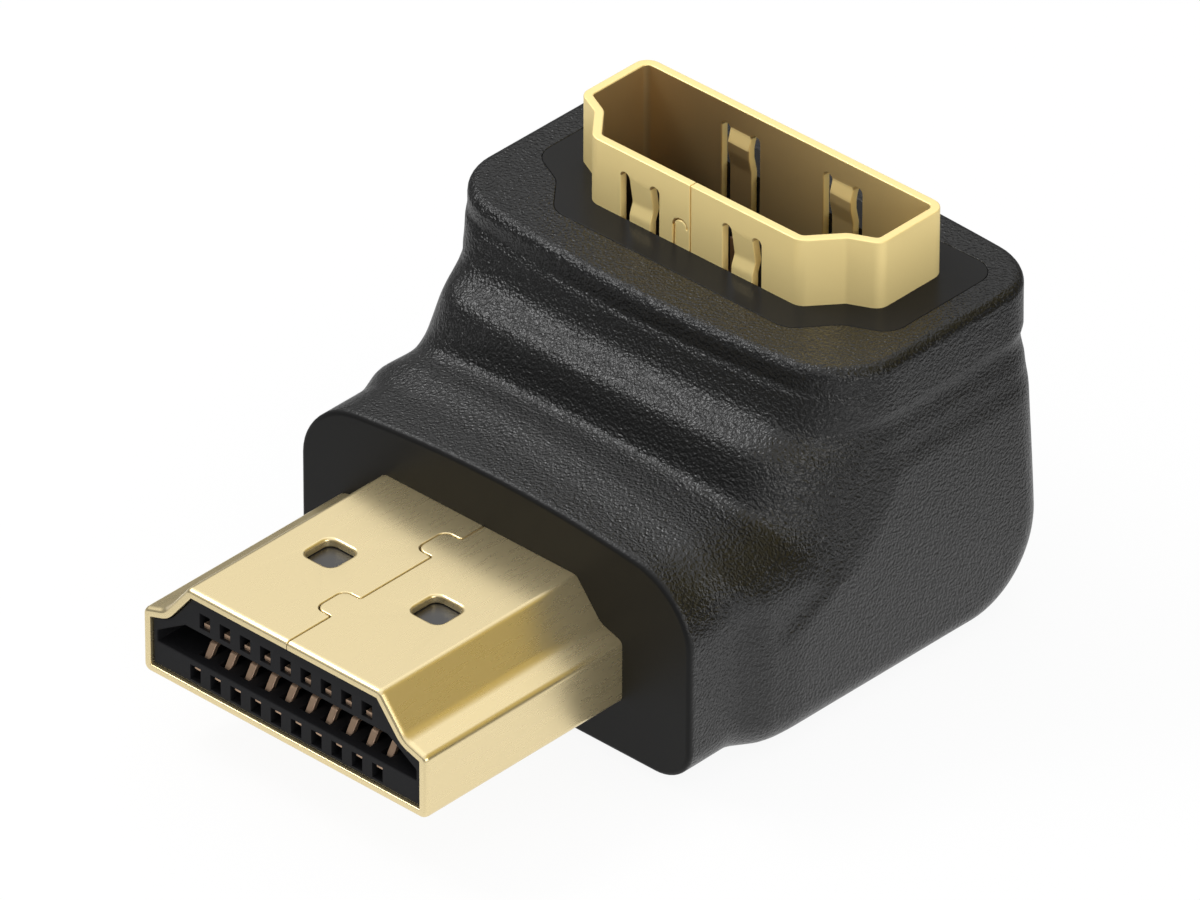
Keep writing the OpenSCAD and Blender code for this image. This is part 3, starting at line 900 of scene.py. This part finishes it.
def past_step(x, y, z):
    """The shallow first step runs round the block, later on its sides and a little askew."""
    middle = step_at + step_later * (1 - ease(6, 8.5, z)) - step_slant * x
    return ease(middle - step_half, middle + step_half, y)


def neck(z):
    """The slight waist below the collar's lip."""
    return neck_deep * ease(10.4, 11.4, z) * (1 - ease(11.5, 11.95, z))


def half_width(side, y, z):
    """Half of the width: block, body behind the step, raised panel of the elbow, and collar."""
    from_axis = hypot(y - swing_y, z - swing_z)
    angle = degrees(atan2(y - swing_y, swing_z - z))
    stepped = block_wide / 2 + (body_wide - block_wide) / 2 * past_step(side * block_wide / 2, y, z)
    plain = stepped + (collar_wide / 2 - stepped) * ease(50, 80, angle)
    panel = ease(3.5, 5.5, y) * ease(8.2, 8.9, from_axis) * (1 - ease(9.1, 10.2, z))
    return plain + (elbow_wide / 2 - plain) * panel - neck(z) * ease(60, 80, angle)


def reach_out(angle, y0, z0):
    """Distance from the swing axis to the underside, the rounded elbow or the back."""
    a = radians(angle)
    aim = np.array((sin(a), -cos(a)))
    centre = np.array((body_deep - elbow_round - y0, elbow_round - z0))
    along = aim @ centre
    off = np.linalg.norm(centre - along * aim)
    low_y = y0 + z0 * tan(radians(min(angle, 80)))
    back_z = z0 - (body_deep - y0) / tan(radians(max(angle, 10)))
    low = (z0 - block_low * (1 - ease(swing_y, 4.7, low_y))) / cos(a) if angle <= 80 else 1e6
    wall = body_deep - back_lean * ease(9.2, 10.9, back_z) - neck(back_z)
    back = (wall - y0) / sin(a) if angle >= 10 else 1e6
    if y0 + low * sin(a) < body_deep - elbow_round:
        return low
    return back if z0 - back * cos(a) > elbow_round else along + sqrt(elbow_round ** 2 - off ** 2)


def skin_section(y0, z0, angle, rounding, corner_steps=12, wall_steps=22, flat_steps=16):
    """One section of the skin, in a plane through the swing axis."""
    near = smooth_through(inner_reach, angle) + rounding
    far = reach_out(angle, y0, z0) - rounding
    across, deep, outside = (
        smooth_through(table, angle) - rounding for table in (shoulder_wide, shoulder_deep, outer_round))
    wide = skin_half - rounding
    half = [((wide - across) * k / flat_steps, near) for k in range(1, flat_steps)]
    for k in range(corner_steps + 1):
        a = radians(-90 + 90 * k / corner_steps)
        half.append((wide - across + across * cos(a), near + deep + deep * sin(a)))
    for k in range(1, wall_steps):
        half.append((wide, near + deep + (far - outside - near - deep) * k / wall_steps))
    for k in range(corner_steps + 1):
        a = radians(90 * k / corner_steps)
        half.append((wide - outside + outside * cos(a), far - outside + outside * sin(a)))
    half += [((wide - outside) * (flat_steps - k) / flat_steps, far) for k in range(1, flat_steps)]
    ring = [(0, near)] + half + [(0, far)] + [(-x, r) for x, r in half[::-1]]
    a, section = radians(angle), []
    for x, reach in ring:
        u = (reach - near) / (far - near)
        bowed = (x / bow_at) ** 2
        reach += bow * bowed * (1 - u) - back_bow * ease(50, 85, angle) * bowed * u
        reach += step_rise * (1 - u) * (1 - past_step(x, y0 + reach * sin(a), block_top))
        y, z = y0 + reach * sin(a), z0 - reach * cos(a)
        section.append((x * (half_width(np.sign(x), y, z) - rounding) / wide, y, z))
    return section


stations = [(back, swing_z, 0, cut) for back, cut in quarter_round(front_round)]
stations += [(y, swing_z, 0, 0) for y in np.linspace(front_round, swing_y, 10)[1:]]
stations += [(swing_y, swing_z, angle, 0) for angle in np.arange(0.75, 90.1, 0.75)]
stations += [(swing_y, collar_top - down, 90, cut) for cut, down in quarter_round(top_round)]

leather, nodes, links, surface, where = finish("overmould", (0.006, 0.006, 0.006), 0.3)
pores = noise(nodes, links, where, 8000, 1, 0.6)
pore_depth = 0.075 * MM
depth, height = (coordinate(nodes, links, where, axis) for axis in "YZ")
behind_front = spread(nodes, links, depth, front + 0.05 * MM, front + 0.25 * MM, 0, 1)
below_lip = spread(nodes, links, height, (collar_top - 0.4) * MM, (collar_top - 0.1) * MM, 1, 0.8)
grain = reckon(nodes, links, "Math", "MULTIPLY", (pores, behind_front))
raise_surface(nodes, links, surface, grain, 1.0, pore_depth)
shine = spread(nodes, links, behind_front, 0, 1, 0.16, 0.48)
shine = reckon(nodes, links, "Math", "MULTIPLY", (shine, below_lip))
links.new(shine, surface.inputs["Specular IOR Level"])
links.new(spread(nodes, links, behind_front, 0, 1, 0.5, 0.3), surface.inputs["Roughness"])

skin = loft("overmould", [skin_section(*station) for station in stations], leather, 60)
carve(skin, inner_form("core_room", 0.005, -0.04))
plug_hole = [from_front(rounded(plug_outline), y) for y in (-1, core_front + 1)]
carve(skin, loft("plug_hole", plug_hole, leather))
fit_in(skin, "overmould", "overmould")

# Studio. A pale floor that darkens away from the adapter where the plating mirrors it, a soft lamp above
# and one on each side, and a white surround. The plating mirrors its bright top and an olive card.
floor_reach = 2.0
floor_corners = [(-floor_reach, -floor_reach, 0), (floor_reach, -floor_reach, 0),
                 (floor_reach, floor_reach, 0), (-floor_reach, floor_reach, 0)]
floor_mesh = bpy.data.meshes.new("floor")
floor_mesh.from_pydata(floor_corners, [], [(0, 1, 2, 3)])
floor = bpy.data.objects.new("floor", floor_mesh)
scene.collection.objects.link(floor)
paper, nodes, links, sheet, where = finish("paper", (0.8, 0.8, 0.8), 0.9)
sheet.inputs["Specular IOR Level"].default_value = 0
rays = nodes.new("ShaderNodeLightPath")
to_camera, in_plating = rays.outputs["Is Camera Ray"], rays.outputs["Is Glossy Ray"]
from_adapter = reckon(nodes, links, "VectorMath", "LENGTH", (where,))
fading = spread(nodes, links, from_adapter, 0.018, 0.05, 0.95, 0.1)
white = nodes.new("ShaderNodeEmission")
links.new(reckon(nodes, links, "Math", "MAXIMUM", (fading, to_camera)), white.inputs["Strength"])
seen = reckon(nodes, links, "Math", "MAXIMUM", (to_camera, in_plating))
mix = nodes.new("ShaderNodeMixShader")
links.new(reckon(nodes, links, "Math", "MULTIPLY", (seen, 0.92)), mix.inputs["Fac"])
links.new(sheet.outputs["BSDF"], mix.inputs[1])
links.new(white.outputs["Emission"], mix.inputs[2])
links.new(mix.outputs["Shader"], nodes["Material Output"].inputs["Surface"])
floor_mesh.materials.append(paper)

world = bpy.data.worlds.new("surround")
scene.world = world
world.use_nodes = True
nodes, links = world.node_tree.nodes, world.node_tree.links
dim = nodes["Background"]
dim.inputs["Color"].default_value = (1, 1, 1, 1)
dim.inputs["Strength"].default_value = 0.95
bright = nodes.new("ShaderNodeBackground")
bright.inputs["Strength"].default_value = 1
direction = nodes.new("ShaderNodeTexCoord").outputs["Generated"]
card_side = Vector((0.75, 0.5, 0.35)).normalized()
towards_card = reckon(nodes, links, "VectorMath", "DOT_PRODUCT", (direction, card_side))
card = nodes.new("ShaderNodeMix")
card.data_type = "RGBA"
card.inputs["A"].default_value = (1, 1, 1, 1)
card.inputs["B"].default_value = (0.54, 0.42, 0.08, 1)
links.new(spread(nodes, links, towards_card, 0.55, 0.85, 0, 1), card.inputs["Factor"])
mirrored_room = nodes.new("ShaderNodeBackground")
links.new(card.outputs["Result"], mirrored_room.inputs["Color"])
overhead = spread(nodes, links, coordinate(nodes, links, direction, "Z"), 0.2, 0.55, 0.1, 1)
links.new(overhead, mirrored_room.inputs["Strength"])
rays = nodes.new("ShaderNodeLightPath")
in_gold = nodes.new("ShaderNodeMixShader")
links.new(rays.outputs["Is Glossy Ray"], in_gold.inputs["Fac"])
links.new(dim.outputs["Background"], in_gold.inputs[1])
links.new(mirrored_room.outputs["Background"], in_gold.inputs[2])
unlit = (rays.outputs["Is Camera Ray"], rays.outputs["Is Transmission Ray"])
mix = nodes.new("ShaderNodeMixShader")
links.new(reckon(nodes, links, "Math", "MAXIMUM", unlit), mix.inputs["Fac"])
links.new(in_gold.outputs["Shader"], mix.inputs[1])
links.new(bright.outputs["Background"], mix.inputs[2])
links.new(mix.outputs["Shader"], nodes["World Output"].inputs["Surface"])

adapter_middle = Vector((0, 0, 8)) * MM


def softbox(name, place, size, power):
    """A lamp at a place in millimetres, turned to the middle of the adapter."""
    lamp = bpy.data.lights.new(name, "AREA")
    lamp.shape = "RECTANGLE"
    lamp.size, lamp.size_y = (side * MM for side in size)
    lamp.energy = power
    box = bpy.data.objects.new(name, lamp)
    scene.collection.objects.link(box)
    spot = Vector(place) * MM
    facing = (spot - adapter_middle).to_track_quat("Z", "Y").to_matrix().to_4x4()
    box.matrix_world = Matrix.Translation(spot) @ facing


softbox("above", (-40, 20, 160), (140, 140), 0.02)
softbox("left", (-95, -30, 130), (80, 40), 0.1)
softbox("right", (150, -40, 50), (100, 80), 0.08)
